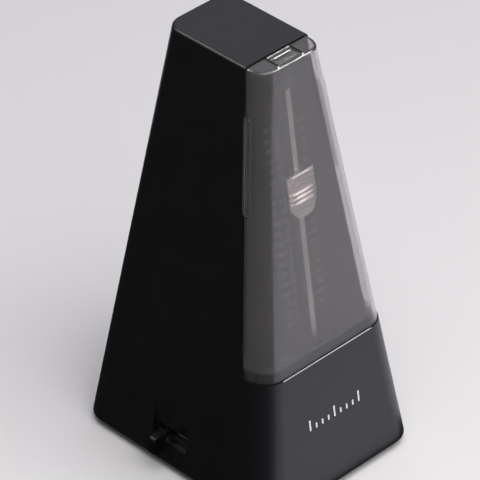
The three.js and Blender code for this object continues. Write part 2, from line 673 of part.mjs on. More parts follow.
function plate(side) {
  const outline = [[-38.5, 7.4], [35, 7.4], [35, 58], [16, 60], [8, 74], [-26, 74], [-36, 64],
    [-38.5, 58]];
  const x0 = side > 0 ? PLATE_X : -PLATE_X - PLATE_THICK;
  const x1 = x0 + PLATE_THICK;
  const holes = [[SECOND, PIVOT_HOLE_R], [ESCAPE, PIVOT_HOLE_R],
    [BARREL, side > 0 ? BARREL_ARBOR_R + CLEAR : PIVOT_HOLE_R]];
  let sheet = plateAlongX(outline, x0, x1);
  const flange = box(side > 0 ? [x1 - 0.1, x1 + 7] : [x0 - 7, x0 + 0.1], [-30, 32], [7.4, 8.9]);
  if (side < 0) sheet = sheet.add(flange.subtract(box([-40, 0], [-24, -16], [0, 20])));
  else sheet = sheet.add(flange);
  for (const [place, radius] of holes) {
    sheet = sheet.subtract(rod(radius, x0 - 1, x1 + 1, "x", at(place), 12));
  }
  for (const place of PILLARS) {
    sheet = sheet.subtract(rod(1.5, x0 - 1, x1 + 1, "x", place, 10));
  }
  return sheet;
}

function pillar(place) {
  const reach = PLATE_X - CLEAR;
  const end = PLATE_X + PLATE_THICK + 1;
  return turned([[0, -end], [1.2, -end], [1.2, -reach], [2.5, -reach], [2.5, reach], [1.2, reach],
    [1.2, end], [0, end]], "x", place, 10);
}

// ---------------------------------------------------------------- bell and hammer
function bell() {
  const r = BELL.radius;
  const h = BELL.height;
  const outside = [[r, 0], [r * 0.96, h * 0.35], [r * 0.85, h * 0.65], [r * 0.6, h * 0.9], [r * 0.3, h]];
  const inside = outside.map(([x, z]) => [x - 1.1, z - (z > 0 ? 1.1 : 0)]).reverse();
  const profile = [...outside, [1.8, h], [1.8, h - 1.1], ...inside, outside[0]];
  return turned(profile.map(([x, z]) => [x, z + BELL.z]), "z", [BELL.x, BELL.y], 24);
}

function bellPost() {
  const top = BELL.z + BELL.height;
  return turned([[0, 7.3], [3.5, 7.3], [3.5, 9], [2, 10], [2, top - 1.5], [1.4, top - 1.5],
    [1.4, top + 2.6], [0, top + 2.6]], "z", [BELL.x, BELL.y], 12);
}

function hammerPost(y0, y1) {
  const outline = [[HAMMER.x - 3.4, 7.3], [HAMMER.x + 3.4, 7.3], [HAMMER.x + 3.4, HAMMER.z + 3],
    [HAMMER.x + 1.8, HAMMER.z + 4.6], [HAMMER.x - 1.8, HAMMER.z + 4.6], [HAMMER.x - 3.4, HAMMER.z + 3]];
  const hole = rod(PIVOT_R + 0.25, y0 - 1, y1 + 1, "y", [HAMMER.x, HAMMER.z], 16);
  return plateAlongY(outline, y0, y1).subtract(hole);
}

function hammerArm() {
  const y = BELL.y;
  const outline = [[-1.2, 0], [1.2, 0], [1.2, 29], [-1.2, 29]];
  const blade = plateAlongY(outline.map(([x, z]) => [x + HAMMER.x, z + HAMMER.z]), y - 1, y + 1);
  const hub = rod(3.2, y - 1, y + 1, "y", [HAMMER.x, HAMMER.z]);
  return blade.add(hub).subtract(rod(PIVOT_R + CLEAR, y - 3, y + 3, "y", [HAMMER.x, HAMMER.z], 16));
}

function hammerHead() {
  const from = HAMMER.x + 1.5;
  const to = BELL.x - BELL.radius - 2.2;
  return turned([[0, from], [1.4, from], [1.6, to - 5], [2.7, to - 4], [2.7, to - 1], [1.8, to], [0, to]],
    "x", [BELL.y, BELL.z + 2], 12);
}

function hammerTail() {
  const y = TAIL_Y;
  const sleeve = rod(2.3, y - 3, y + 3, "y", [HAMMER.x, HAMMER.z], 16);
  const finger = box([HAMMER.x, BEAT_WHEEL_X - 0.7], [y - 0.8, y + 0.8], [HAMMER.z - 0.8, HAMMER.z + 0.8]);
  return sleeve.add(finger).subtract(rod(PIVOT_R + CLEAR, y - 5, y + 5, "y", [HAMMER.x, HAMMER.z], 16));
}

// A wire coil around the hammer arbor.
class Helix extends THREE.Curve {
  constructor(radius, pitch, turns, start) {
    super();
    Object.assign(this, { radius, pitch, turns, start });
  }

  getPoint(t, target = new THREE.Vector3()) {
    const angle = 2 * Math.PI * this.turns * t;
    return target.set(
      HAMMER.x + this.radius * Math.cos(angle),
      this.start + this.pitch * this.turns * t,
      HAMMER.z + this.radius * Math.sin(angle),
    );
  }
}

function hammerSpring() {
  const turns = 4;
  const wire = new THREE.Shape();
  const sides = 4;
  for (let i = 0; i < sides; i += 1) {
    const angle = (2 * Math.PI * i) / sides;
    const point = [0.35 * Math.cos(angle), 0.35 * Math.sin(angle)];
    if (i === 0) wire.moveTo(...point);
    else wire.lineTo(...point);
  }
  const path = new Helix(2.2, 1.3, turns, 19);
  const options = { steps: 10 * turns, extrudePath: path, bevelEnabled: false };
  return toSolid(new THREE.ExtrudeGeometry(wire, options));
}

// ---------------------------------------------------------------- beat selector
function selectorSlide() {
  const strip = box([-43.5, -42], [LEVER_Y - 22.6, LEVER_Y + 19.4], [13.5, 25.5]);
  const y = TAIL_Y;
  let prongs = null;
  for (const side of [-1, 1]) {
    const y0 = side < 0 ? y - 3.3 - 1.2 : y + 3.3;
    const outline = [[-43.5, 17], [-41, 17], [-29.6, 34], [-29.6, 41.4], [-36.4, 41.4], [-43.5, 25.5]];
    const prong = plateAlongY(outline, y0, y0 + 1.2);
    prongs = prongs ? prongs.add(prong) : prong;
  }
  return strip.add(prongs).subtract(rod(PIVOT_R + 0.6, -30, 40, "y", [HAMMER.x, HAMMER.z], 16));
}

// The rounded knob outside the case and its neck through the slot.
function beatLever() {
  const half = 2.1;
  const neck = box([-50.5, -43.8], [LEVER_Y - 1.3, LEVER_Y + 1.3], [18.1, 20.3]);
  const outline = [[-48.8, 18.2], [-49, 20.4], [-52.4, 20.8], [-54.8, 20.8], [-56.3, 20],
    [-SIDE_REACH, 18.2], [-SIDE_REACH, 13], [-56.6, 11.5], [-55.2, 10.6], [-52, 10.3], [-50.2, 10.4]];
  const knob = plateAlongY(outline, LEVER_Y - half, LEVER_Y + half);
  return knob.add(neck);
}

// ---------------------------------------------------------------- winding key
function windingKey() {
  const hub = turned([[0, 30], [4, 30], [4, 47.2], [4.6, 47.6], [4.6, SIDE_REACH - 1],
    [3.8, SIDE_REACH], [0, SIDE_REACH]], "x", at(BARREL), 20);
  const socket = rod(BARREL_ARBOR_R + CLEAR, 20, 42, "x", at(BARREL));
  const wing = [];
  for (let i = 0; i <= 2 * ARC_STEPS; i += 1) {
    const angle = (Math.PI * i) / (2 * ARC_STEPS) - Math.PI / 2;
    wing.push([BARREL.y + 7 + 5 * Math.cos(angle), BARREL.z + 3.4 * Math.sin(angle)]);
  }
  const mirrored = wing.map(([y, z]) => [2 * BARREL.y - y, 2 * BARREL.z - z]);
  const wings = plateAlongX([...wing, ...mirrored], 48, SIDE_REACH - 0.8);
  return hub.add(wings).subtract(socket);
}

add("mainspring_barrel", mainspringBarrel(), "brass");
add("barrel_cover", barrelCover(), "brass");
add("mainspring", mainspring(), "dark_steel");
add("barrel_arbor", barrelArbor(), "steel");
add("ratchet_wheel", ratchetWheel(), "steel");
add("click", click(), "steel");
add("click_screw", clickScrew(), "steel");
add("click_spring", clickSpring(), "steel");
add("second_wheel", secondWheel(), "brass");
add("escape_wheel", escapeWheel(), "brass");
add("beat_wheel", beatWheel(), "brass");
add("left_plate", plate(-1), "brass");
add("right_plate", plate(1), "brass");
PILLARS.forEach((place, i) => add(`pillar_${i + 1}`, pillar(place), "steel"));
add("bell", bell(), "steel");
add("bell_post", bellPost(), "steel");
add("bell_nut", ring(2.8, 1.7, BELL.z + BELL.height + CLEAR, BELL.z + BELL.height + 2.3, "z",
  [BELL.x, BELL.y], 6), "brass");
add("hammer_post_front", hammerPost(-22, -20.5), "brass");
add("hammer_post_back", hammerPost(28, 29.5), "brass");
add("hammer_arbor", rod(PIVOT_R, HAMMER.from, HAMMER.to, "y", [HAMMER.x, HAMMER.z], 16), "steel");
add("hammer_arm", hammerArm(), "steel");
add("hammer_head", hammerHead(), "brass");
add("hammer_tail", hammerTail(), "steel");
add("hammer_spring", hammerSpring(), "steel");
add("selector_slide", selectorSlide(), "steel");
add("beat_lever", beatLever(), "black");
add("winding_key", windingKey(), "black");

export default part;
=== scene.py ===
import json
import math

import bmesh
import bpy
from mathutils import Matrix, Vector


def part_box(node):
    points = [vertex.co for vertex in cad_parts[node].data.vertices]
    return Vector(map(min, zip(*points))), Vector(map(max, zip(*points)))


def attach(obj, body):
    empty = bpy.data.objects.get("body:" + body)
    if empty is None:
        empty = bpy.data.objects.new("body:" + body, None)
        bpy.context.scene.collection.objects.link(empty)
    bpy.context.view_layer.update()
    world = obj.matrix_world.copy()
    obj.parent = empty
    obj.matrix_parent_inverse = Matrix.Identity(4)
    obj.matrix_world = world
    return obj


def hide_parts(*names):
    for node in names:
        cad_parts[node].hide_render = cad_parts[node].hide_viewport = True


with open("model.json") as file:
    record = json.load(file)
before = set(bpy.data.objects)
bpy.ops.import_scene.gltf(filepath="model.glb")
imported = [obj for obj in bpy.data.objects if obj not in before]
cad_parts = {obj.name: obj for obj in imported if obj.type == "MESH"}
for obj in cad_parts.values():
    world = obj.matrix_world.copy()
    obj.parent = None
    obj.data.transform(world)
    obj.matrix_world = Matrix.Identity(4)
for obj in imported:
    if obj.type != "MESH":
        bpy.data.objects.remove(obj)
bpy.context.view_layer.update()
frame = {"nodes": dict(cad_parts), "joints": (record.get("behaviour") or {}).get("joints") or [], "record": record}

# ---------------------------------------------------------------- sizes, metres
MM = 0.001
CASE_LOW, CASE_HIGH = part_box("main_case")
LID_LOW, LID_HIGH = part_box("front_lid")
FLOOR_GAP = CASE_LOW.z                       # the feet lift the case by this much
CASE_TALL = CASE_HIGH.z - CASE_LOW.z
BASE_HALF = Vector((CASE_HIGH.x, CASE_HIGH.y))
TOP_HALF = Vector((19.7, 30.8)) * MM
TOP_SHIFT = 2.7 * MM
BASE_CORNER = 13.4 * MM
TOP_CORNER = 8.9 * MM
RIM = 1.5 * MM                               # rounding of the top edge
HEM = 0.5 * MM                               # rounding of the bottom edge
WALL = 2.2 * MM
ROOF = 2.6 * MM
LID_WALL = 1.6 * MM
LID_INSET = 0.45 * MM                        # the lid's faces lie this far inside the case's
SHUT = 0.5 * MM                              # shut line round the lid
SHELF = LID_LOW.z - SHUT                     # top of the lower front panel
SEAM_FOOT = -43.8 * MM                       # the seam's y at the foot of the case
SEAM_SLOPE = 0.123
LID_CORNER = 4.6 * MM
FOOT_SHADE_BAND = (4.6 * MM, 5.2 * MM)             # painted shade over the lid's foot, where the lip shows through
BEYOND_X, BEYOND_Y = 60 * MM, 80 * MM        # clear of the case, to the sides and to the front
CORNER_STEPS = 18                            # in a quarter turn of the case's corners
EDGE_STEPS = 5                               # in the rim and the hem
TURNED_STEPS = 48
WELD = 1e-6                                  # corners this close are one corner
SPECK = 5e-7                                 # smaller faces than this are taken out
SMOOTH_ANGLE = 35                            # sharper edges stay sharp in the shading

JOINTS = {joint["name"]: joint for joint in frame["joints"]}
PIVOT = Vector(JOINTS["pendulum_swing"]["pos_m"])
ALONG_ROD = Vector(JOINTS["weight_slide"]["axis"]).normalized()
ROD_SLOPE = ALONG_ROD.y / ALONG_ROD.z
ROD_TILT = Matrix.Rotation(-math.atan(ROD_SLOPE), 4, "X")
PANEL_BEHIND_ROD = 4.15 * MM

scene = bpy.context.scene


# ---------------------------------------------------------------- mesh helpers
def link(name, mesh):
    piece = bpy.data.objects.new(name, mesh)
    scene.collection.objects.link(piece)
    return piece


def from_bmesh(name, bm):
    bmesh.ops.recalc_face_normals(bm, faces=bm.faces[:])
    mesh = bpy.data.meshes.new(name)
    bm.to_mesh(mesh)
    bm.free()
    return link(name, mesh)


def applied(piece):
    """Bake the piece's modifiers into its mesh."""
    bpy.context.view_layer.update()
    graph = bpy.context.evaluated_depsgraph_get()
    mesh = bpy.data.meshes.new_from_object(piece.evaluated_get(graph))
    piece.modifiers.clear()
    piece.data = mesh
    return piece


def boolean(target, other, operation):
    modifier = target.modifiers.new("boolean", "BOOLEAN")
    modifier.solver = "MANIFOLD"
    modifier.operation = operation
    modifier.object = other
    applied(target)
    bpy.data.objects.remove(other)
    return target


def cut(target, *others):
    for other in others:
        boolean(target, other, "DIFFERENCE")
    return target


def join(target, *others):
    for other in others:
        boolean(target, other, "UNION")
    return target


def keep(target, other):
    return boolean(target, other, "INTERSECT")


def merged(name, pieces):
    """One object made of several, with no cutting."""
    bm = bmesh.new()
    for piece in pieces:
        mesh = piece.data.copy()
        mesh.transform(piece.matrix_world)
        bm.from_mesh(mesh)
        bpy.data.objects.remove(piece)
    mesh = bpy.data.meshes.new(name)
    bm.to_mesh(mesh)
    bm.free()
    return link(name, mesh)


def round_edges(piece, width, chosen=None, segments=3, sharpness=32):
    """Round the edges sharper than sharpness degrees that chosen(middle, edge) picks."""
    bm = bmesh.new()
    bm.from_mesh(piece.data)
    bmesh.ops.remove_doubles(bm, verts=bm.verts[:], dist=WELD)
    bmesh.ops.dissolve_limit(bm, angle_limit=math.radians(0.2),
                             verts=bm.verts[:], edges=bm.edges[:])
    picked = []
    for edge in bm.edges:
        if len(edge.link_faces) != 2 or edge.calc_face_angle(0) < math.radians(sharpness):
            continue
        middle = (edge.verts[0].co + edge.verts[1].co) / 2
        if chosen is None or chosen(middle, edge):
            picked.append(edge)
    bmesh.ops.bevel(bm, geom=picked, offset=width, offset_type="OFFSET", segments=segments,
                    profile=0.5, affect="EDGES", clamp_overlap=True)
    bm.to_mesh(piece.data)
    bm.free()
    return piece


def clean(piece):
    """Take out faces without area, and pairs of faces that lie on each other."""
    bm = bmesh.new()
    bm.from_mesh(piece.data)
    bmesh.ops.remove_doubles(bm, verts=bm.verts[:], dist=SPECK)
    bmesh.ops.dissolve_degenerate(bm, dist=SPECK, edges=bm.edges[:])
    on_corners = {}
    for face in bm.faces:
        on_corners.setdefault(frozenset(face.verts), []).append(face)
    doubled = [face for group in on_corners.values() if len(group) > 1 for face in group]
    bmesh.ops.delete(bm, geom=doubled, context="FACES")
    bm.to_mesh(piece.data)
    bm.free()
    return piece


def smooth(piece):
    """Clean the mesh and shade it smoothly between its sharp edges."""
    mesh = clean(piece).data
    mesh.polygons.foreach_set("use_smooth", [True] * len(mesh.polygons))
    mesh.set_sharp_from_angle(angle=math.radians(SMOOTH_ANGLE))
    modifier = piece.modifiers.new("normals", "WEIGHTED_NORMAL")
    modifier.keep_sharp = True
    modifier.weight = 90
    return applied(piece)


def block(name, low, high):
    bm = bmesh.new()
    bmesh.ops.create_cube(bm, size=1)
    low, high = Vector(low), Vector(high)
    middle, size = (low + high) / 2, high - low
    for vert in bm.verts:
        vert.co = middle + Vector([vert.co[k] * size[k] for k in range(3)])
    return from_bmesh(name, bm)


def loft(name, rings):
    """A closed solid through rings that have the same number of points."""
    bm = bmesh.new()
    levels = [[bm.verts.new(point) for point in ring] for ring in rings]
    count = len(levels[0])
    for lower, upper in zip(levels, levels[1:]):
        for i in range(count):
            j = (i + 1) % count
            bm.faces.new((lower[i], lower[j], upper[j], upper[i]))
    bm.faces.new(levels[0][::-1])
    bm.faces.new(levels[-1])
    return from_bmesh(name, bm)


def prism(name, outline, axis, low, high):
    """A flat outline in the two other axes, in X, Y, Z order, from low to high along axis."""
    others = [k for k in range(3) if k != axis]
    rings = []
    for level in (low, high):
        ring = []
        for point in outline:
            place = [0.0, 0.0, 0.0]
            place[axis] = level
            place[others[0]], place[others[1]] = point
            ring.append(place)
        rings.append(ring)
    return loft(name, rings)


def turned(name, profile, axis, at):
    """A solid of revolution. Profile points are (radius, place along the axis).

    Both ends of the profile lie on the axis, and at is where the axis passes.
    """
    bm = bmesh.new()
    spin = {0: (1, 2), 1: (0, 2), 2: (0, 1)}[axis]
    rings = []
    for radius, along in profile:
        ring = []
        for i in range(TURNED_STEPS if radius else 1):
            angle = 2 * math.pi * i / TURNED_STEPS
            place = [0.0, 0.0, 0.0]
            place[axis] = along
            place[spin[0]] = at[0] + radius * math.cos(angle)
            place[spin[1]] = at[1] + radius * math.sin(angle)
            ring.append(bm.verts.new(place))
        rings.append(ring)
    for lower, upper in zip(rings, rings[1:]):
        for i in range(TURNED_STEPS):
            j = (i + 1) % TURNED_STEPS
            corners = [lower[i % len(lower)], lower[j % len(lower)],
                       upper[j % len(upper)], upper[i % len(upper)]]
            distinct = list(dict.fromkeys(corners))
            if len(distinct) > 2:
                bm.faces.new(distinct)
    return from_bmesh(name, bm)


def cylinder(name, radius, low, high, axis, at):
    return turned(name, [(0, low), (radius, low), (radius, high), (0, high)], axis, at)


def arc(centre, radius, start, end, steps):
    """Points on an arc, angles in degrees."""
    points = []
    for i in range(steps + 1):
        angle = math.radians(start + (end - start) * i / steps)
        points.append((centre[0] + radius * math.cos(angle), centre[1] + radius * math.sin(angle)))
    return points


# ---------------------------------------------------------------- the tapering form
def taper(bottom, top, height):
    """A size at this height over the foot of the case, from its sizes at the bottom and the top."""
    return bottom + (top - bottom) * height / CASE_TALL


def case_ring(height, inset):
    """The case's outline at this height, this far inside its face."""
    half_x = taper(BASE_HALF.x, TOP_HALF.x, height) - inset
    half_y = taper(BASE_HALF.y, TOP_HALF.y, height) - inset
    middle = taper(0, TOP_SHIFT, height)
    radius = max(taper(BASE_CORNER, TOP_CORNER, height) - inset, 0.5 * MM)
    ring = []
    for quarter, (sx, sy) in enumerate(((1, 1), (-1, 1), (-1, -1), (1, -1))):
        centre = (sx * (half_x - radius), middle + sy * (half_y - radius))
        for x, y in arc(centre, radius, 90 * quarter, 90 * quarter + 90, CORNER_STEPS):
            ring.append((x, y, FLOOR_GAP + height))
    return ring


def pyramid(name, inset, bottom, top, rim=0.0, hem=0.0):
    """The case's form between two heights, with its top edge rounded by rim and its foot by hem."""
    rings = []
    turns = [math.pi / 2 * i / EDGE_STEPS for i in range(EDGE_STEPS + 1)]
    for angle in turns[:-1] if hem else []:
        height = bottom + hem * (1 - math.cos(angle))
        rings.append(case_ring(height, inset + hem * (1 - math.sin(angle))))
    rings.append(case_ring(bottom + hem, inset))
    rings.append(case_ring(top - rim, inset))
    for angle in turns[1:] if rim else []:
        height = top - rim * (1 - math.sin(angle))
        rings.append(case_ring(height, inset + rim * (1 - math.cos(angle))))
    return loft(name, rings)


def seam_y(z):
    """The line between the lid and the case, seen from the side."""
    return SEAM_FOOT + SEAM_SLOPE * (z - FLOOR_GAP)


def lid_zone(name, margin):
    """Everything in front of the seam and over the shelf, drawn in by margin."""
    low = SHELF + margin
    high = CASE_HIGH.z + 10 * MM
    edge = seam_y(low) - margin
    outline = [(-BEYOND_Y, low)]
    outline += arc((edge - LID_CORNER, low + LID_CORNER), LID_CORNER, -90, 0, 12)
    outline += [(seam_y(high) - margin, high), (-BEYOND_Y, high)]
    return prism(name, outline, 0, -BEYOND_X, BEYOND_X)


def panel_y(z):
    """The scale panel's front face."""
    return PIVOT.y + PANEL_BEHIND_ROD + ROD_SLOPE * (z - PIVOT.z)


def front_y(z):
    """The outside of the case's front, on the middle line."""
    height = z - FLOOR_GAP
    return taper(0, TOP_SHIFT, height) - taper(BASE_HALF.y, TOP_HALF.y, height)


# ---------------------------------------------------------------- material helpers
class Nodes:
    """A small builder for node materials."""

    def __init__(self, name):
        self.material = bpy.data.materials.new(name)
        self.material.use_nodes = True
        self.tree = self.material.node_tree
        self.shader = self.tree.nodes["Principled BSDF"]
        self.place = self.tree.nodes.new("ShaderNodeTexCoord").outputs["Object"]

    def add(self, kind, inputs=None, **settings):
        node = self.tree.nodes.new(kind)
        for key, value in settings.items():
            setattr(node, key, value)
        for key, value in (inputs or {}).items():
            if isinstance(value, bpy.types.NodeSocket):
                self.tree.links.new(value, node.inputs[key])
            else:
                node.inputs[key].default_value = value
        return node

    def noise(self, scale, detail=3.0, roughness=0.55, stretch=None):
        place = self.place
        if stretch:
            place = self.add("ShaderNodeMapping", {"Vector": place, "Scale": stretch}).outputs[0]
        inputs = {"Vector": place, "Scale": scale, "Detail": detail, "Roughness": roughness}
        return self.add("ShaderNodeTexNoise", inputs).outputs["Fac"]

    def remap(self, value, low, high, start=0.3, end=0.7):
        inputs = {"Value": value, "From Min": start, "From Max": end, "To Min": low, "To Max": high}
        return self.add("ShaderNodeMapRange", inputs).outputs["Result"]

    def mix(self, factor, first, second):
        node = self.add("ShaderNodeMix", {"Factor": factor}, data_type="RGBA")
        for socket, value in ((node.inputs[6], first), (node.inputs[7], second)):
            if isinstance(value, bpy.types.NodeSocket):
                self.tree.links.new(value, socket)
            else:
                socket.default_value = (*value, 1.0)
        return node.outputs[2]

    def bump(self, height, distance, strength):
        inputs = {"Height": height, "Distance": distance, "Strength": strength}
        return self.add("ShaderNodeBump", inputs).outputs["Normal"]

    def set(self, **values):
        for key, value in values.items():
            socket = self.shader.inputs[key.replace("_", " ")]
            if isinstance(value, bpy.types.NodeSocket):
                self.tree.links.new(value, socket)
            elif isinstance(value, tuple) and len(value) == 3:
                socket.default_value = (*value, 1.0)
            else:
                socket.default_value = value
        return self.material


def moulded_plastic(name, dark, light, rough, grain, specular=0.5):
    """Spark-textured moulding: fine grain, faint flow clouds and a slightly uneven gloss."""
    n = Nodes(name)
    clouds = n.noise(60, 4)
    fine = n.noise(grain, 2, 0.6)
    colour = n.mix(n.remap(clouds, 0, 1), dark, light)
    roughness = n.remap(n.noise(grain * 0.35, 3), rough - 0.05, rough + 0.06)
    normal = n.bump(fine, 0.035 * MM, 0.55)
    return n.set(Base_Color=colour, Roughness=roughness, Normal=normal, Specular_IOR_Level=specular)


def rubber(name):
    n = Nodes(name)
    speckle = n.noise(2600, 2)
    colour = n.mix(n.remap(n.noise(220), 0, 1), (0.012, 0.012, 0.012), (0.030, 0.029, 0.028))
    return n.set(Base_Color=colour, Roughness=n.remap(speckle, 0.75, 0.92),
                 Normal=n.bump(speckle, 0.05 * MM, 0.5), Specular_IOR_Level=0.3)


def brushed_metal(name, dark, light, rough, stretch=(40, 1, 1), scale=120):
    """Metal with fine drawn lines and a few darker clouds."""
    n = Nodes(name)
    lines = n.noise(scale, 4, 0.7, stretch)
    clouds = n.noise(90, 3)
    colour = n.mix(n.remap(clouds, 0, 1), dark, light)
    roughness = n.remap(lines, rough - 0.08, rough + 0.12)
    normal = n.bump(lines, 0.01 * MM, 0.35)
    return n.set(Base_Color=colour, Metallic=1.0, Roughness=roughness, Normal=normal)


def smoked_plastic(name):
    """Smoked plastic, clear enough to see through, with painted shade at its foot, over the lip."""
    n = Nodes(name)
    clouds = n.noise(35, 3)
    ripple = n.noise(140, 2)
    height = n.add("ShaderNodeSeparateXYZ", {"Vector": n.place}).outputs["Z"]
    above_foot_shade = n.remap(height, 0, 1, LID_LOW.z + FOOT_SHADE_BAND[0], LID_LOW.z + FOOT_SHADE_BAND[1])
    wall = n.mix(n.remap(clouds, 0, 1), (0.80, 0.785, 0.78), (0.84, 0.825, 0.82))
    # painted shade: the colour is darker below the band, where the lip stands behind the wall
    colour = n.mix(above_foot_shade, (0.45, 0.44, 0.44), wall)
    roughness = n.remap(n.noise(120, 3), 0.10, 0.13)
    n.set(Base_Color=colour, Roughness=roughness, Normal=n.bump(ripple, 0.01 * MM, 0.05))
    n.shader.inputs["Transmission Weight"].default_value = 0.95
    n.shader.inputs["IOR"].default_value = 1.49
    tint = n.add("ShaderNodeVolumeAbsorption", {"Color": (0.55, 0.535, 0.53, 1), "Density": 560})
    n.tree.links.new(tint.outputs[0], n.tree.nodes["Material Output"].inputs["Volume"])
    return n.material


def printed_ink(name, dark, light):
    """Flat ink with faint unevenness, half matt."""
    n = Nodes(name)
    colour = n.mix(n.remap(n.noise(900, 3), 0, 1), dark, light)
    return n.set(Base_Color=colour, Roughness=n.remap(n.noise(1500, 2), 0.44, 0.56))


BLACK = moulded_plastic("case_black", (0.0030, 0.0030, 0.0040), (0.0048, 0.0048, 0.0062), 0.42, 2300)
PANEL_BLACK = moulded_plastic("panel_black", (0.004, 0.004, 0.0045), (0.007, 0.007, 0.0075), 0.55, 1800)
LEVER_BLACK = moulded_plastic("lever_black", (0.0025, 0.0025, 0.003), (0.004, 0.004, 0.005), 0.4, 2600,
                              specular=0.2)
SMOKE = smoked_plastic("smoke_lid")
# painted shade: an opaque dark grey for the lid's cut faces, in place of the smoked plastic
SMOKE_EDGE_SHADE = moulded_plastic("smoke_edge_shade", (0.028, 0.026, 0.028), (0.040, 0.037, 0.040), 0.5, 2300, 0.3)
# partly real gloss, partly painted highlight: a glossier black, painted lighter than the case, for the shelf's
# chamfer
GLOSS_EDGE_HIGHLIGHT = moulded_plastic("gloss_edge_highlight", (0.010, 0.010, 0.011), (0.016, 0.016, 0.017), 0.22, 2300, 0.7)
RUBBER = rubber("foot_rubber")
STEEL = brushed_metal("steel", (0.42, 0.42, 0.43), (0.58, 0.58, 0.59), 0.32)
BLUED = brushed_metal("blued_steel", (0.05, 0.06, 0.10), (0.10, 0.12, 0.18), 0.30)
CHROME = brushed_metal("bell_steel", (0.60, 0.60, 0.61), (0.72, 0.72, 0.72), 0.14)
ALUMINIUM = brushed_metal("rod_aluminium", (0.42, 0.395, 0.385), (0.54, 0.51, 0.50), 0.32,
                          (40, 40, 1), 60)
NICKEL = brushed_metal("weight_nickel", (0.46, 0.425, 0.415), (0.58, 0.54, 0.53), 0.25, (1, 40, 40), 60)
BRASS = brushed_metal("brass", (0.52, 0.36, 0.13), (0.68, 0.50, 0.22), 0.28)
LEAD = brushed_metal("counterweight_alloy", (0.16, 0.15, 0.13), (0.26, 0.24, 0.20), 0.5)
SCALE_INK = printed_ink("scale_ink", (0.19, 0.19, 0.193), (0.23, 0.23, 0.234))
WHITE_INK = printed_ink("white_ink", (0.62, 0.62, 0.63), (0.74, 0.74, 0.75))


def dress(piece, material, slot, body, *replaced):
    """Give a finished piece its material, its body and the CAD nodes that it stands for."""
    piece.data.materials.clear()
    piece.data.materials.append(material)
    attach(piece, body)
    if replaced:
        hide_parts(*replaced)


def second_material(piece, material, chosen):
    """Give the faces that chosen(face) picks another material."""
    piece.data.materials.append(material)
    for face in piece.data.polygons:
        if chosen(face):
            face.material_index = 1


# ---------------------------------------------------------------- camera
CAMERA_AZIMUTH, CAMERA_ELEVATION = -44.98, 35.87     # degrees, from straight in front and from level
CAMERA_AIM = 108.92 * MM                             # the height that it looks at
CAMERA_SIDESTEP = -3.81 * MM
CAMERA_AWAY = 1.8553
SENSOR, LENS = 36, 302.94                            # in Blender's millimetres


def make_camera():
    """The view is from the front left and above, with a long lens."""
    azimuth, elevation = math.radians(CAMERA_AZIMUTH), math.radians(CAMERA_ELEVATION)
    back = Vector((math.sin(azimuth) * math.cos(elevation),
                   -math.cos(azimuth) * math.cos(elevation),
                   math.sin(elevation)))
    right = Vector((math.cos(azimuth), math.sin(azimuth), 0))
    up = back.cross(right)
    target = Vector((0, 0, CAMERA_AIM)) + right * CAMERA_SIDESTEP
    data = bpy.data.cameras.new("camera")
    data.sensor_width = SENSOR
    data.lens = LENS
    data.clip_start = 0.1
    data.clip_end = 20
    camera = bpy.data.objects.new("camera", data)
    scene.collection.objects.link(camera)
    rotation = Matrix((right, up, back)).transposed().to_4x4()
    camera.matrix_world = Matrix.Translation(target + back * CAMERA_AWAY) @ rotation
    scene.camera = camera


# ---------------------------------------------------------------- case
LEVER_LOW, LEVER_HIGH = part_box("beat_lever")
LEVER_AT = (LEVER_LOW.y + LEVER_HIGH.y) / 2
KEY_AXIS = Vector(JOINTS["key_wind"]["pos_m"])
BOSS = ((-48 * MM, -12 * MM, 8.5 * MM), (-43.9 * MM, 19 * MM, 39 * MM))  # the wall is thicker here
RECESS_X = -46.3 * MM                                # the recess over the lever is cut into it
RECESS_Y = (-7.6 * MM, 14.6 * MM)
RECESS_Z = (14.5 * MM, 45 * MM)
RECESS_TOP = 34 * MM                                 # its edges all lie under this
SLOT_Y = (-6.6 * MM, 12.5 * MM)
SLOT_Z = (17.3 * MM, 21.8 * MM)
KEY_HOLE = 4.7 * MM
LEDGE_THICK, LEDGE_BACK = 2.4 * MM, -39.2 * MM
LIP_GAP, LIP_THICK, LIP_TALL, LIP_BACK = 0.4 * MM, 1.3 * MM, 4.4 * MM, -43 * MM
CHAMFER_TALL, CHAMFER_DEEP = 0.24 * MM, 0.27 * MM
CHAMFER_BACK = -41 * MM                              # it stops before the case's rounded corners


def rounded_block(name, x, y, z, radius):
    """A block along X with rounded corners in the Y-Z plane."""
    outline = []
    places = ((y[1], z[1], 1, 1), (y[0], z[1], -1, 1), (y[0], z[0], -1, -1), (y[1], z[0], 1, -1))
    for quarter, (py, pz, sy, sz) in enumerate(places):
        centre = (py - sy * radius, pz - sz * radius)
        outline += arc(centre, radius, 90 * quarter, 90 * quarter + 90, 6)
    return prism(name, outline, 0, x[0], x[1])


def shelf_ledge(height):
    """The thick top of the lower front panel, which the lid stands on."""
    ledge = pyramid("ledge", 0.5 * MM, height - LEDGE_THICK, height)
    return keep(ledge, block("limit", (-BEYOND_X, -BEYOND_Y, 0), (BEYOND_X, LEDGE_BACK, SHELF)))


def shelf_lip(height):
    """The upright lip that the lid's foot closes over."""
    inset = LID_INSET + LID_WALL + LIP_GAP
    lip = pyramid("lip", inset, height - 6 * MM, height + LIP_TALL)
    cut(lip, pyramid("inside", inset + LIP_THICK, height - 12 * MM, height + 12 * MM))
    limit = block("limit", (-BEYOND_X, -BEYOND_Y, SHELF - MM), (BEYOND_X, LIP_BACK, SHELF + LIP_TALL))
    return keep(lip, limit)


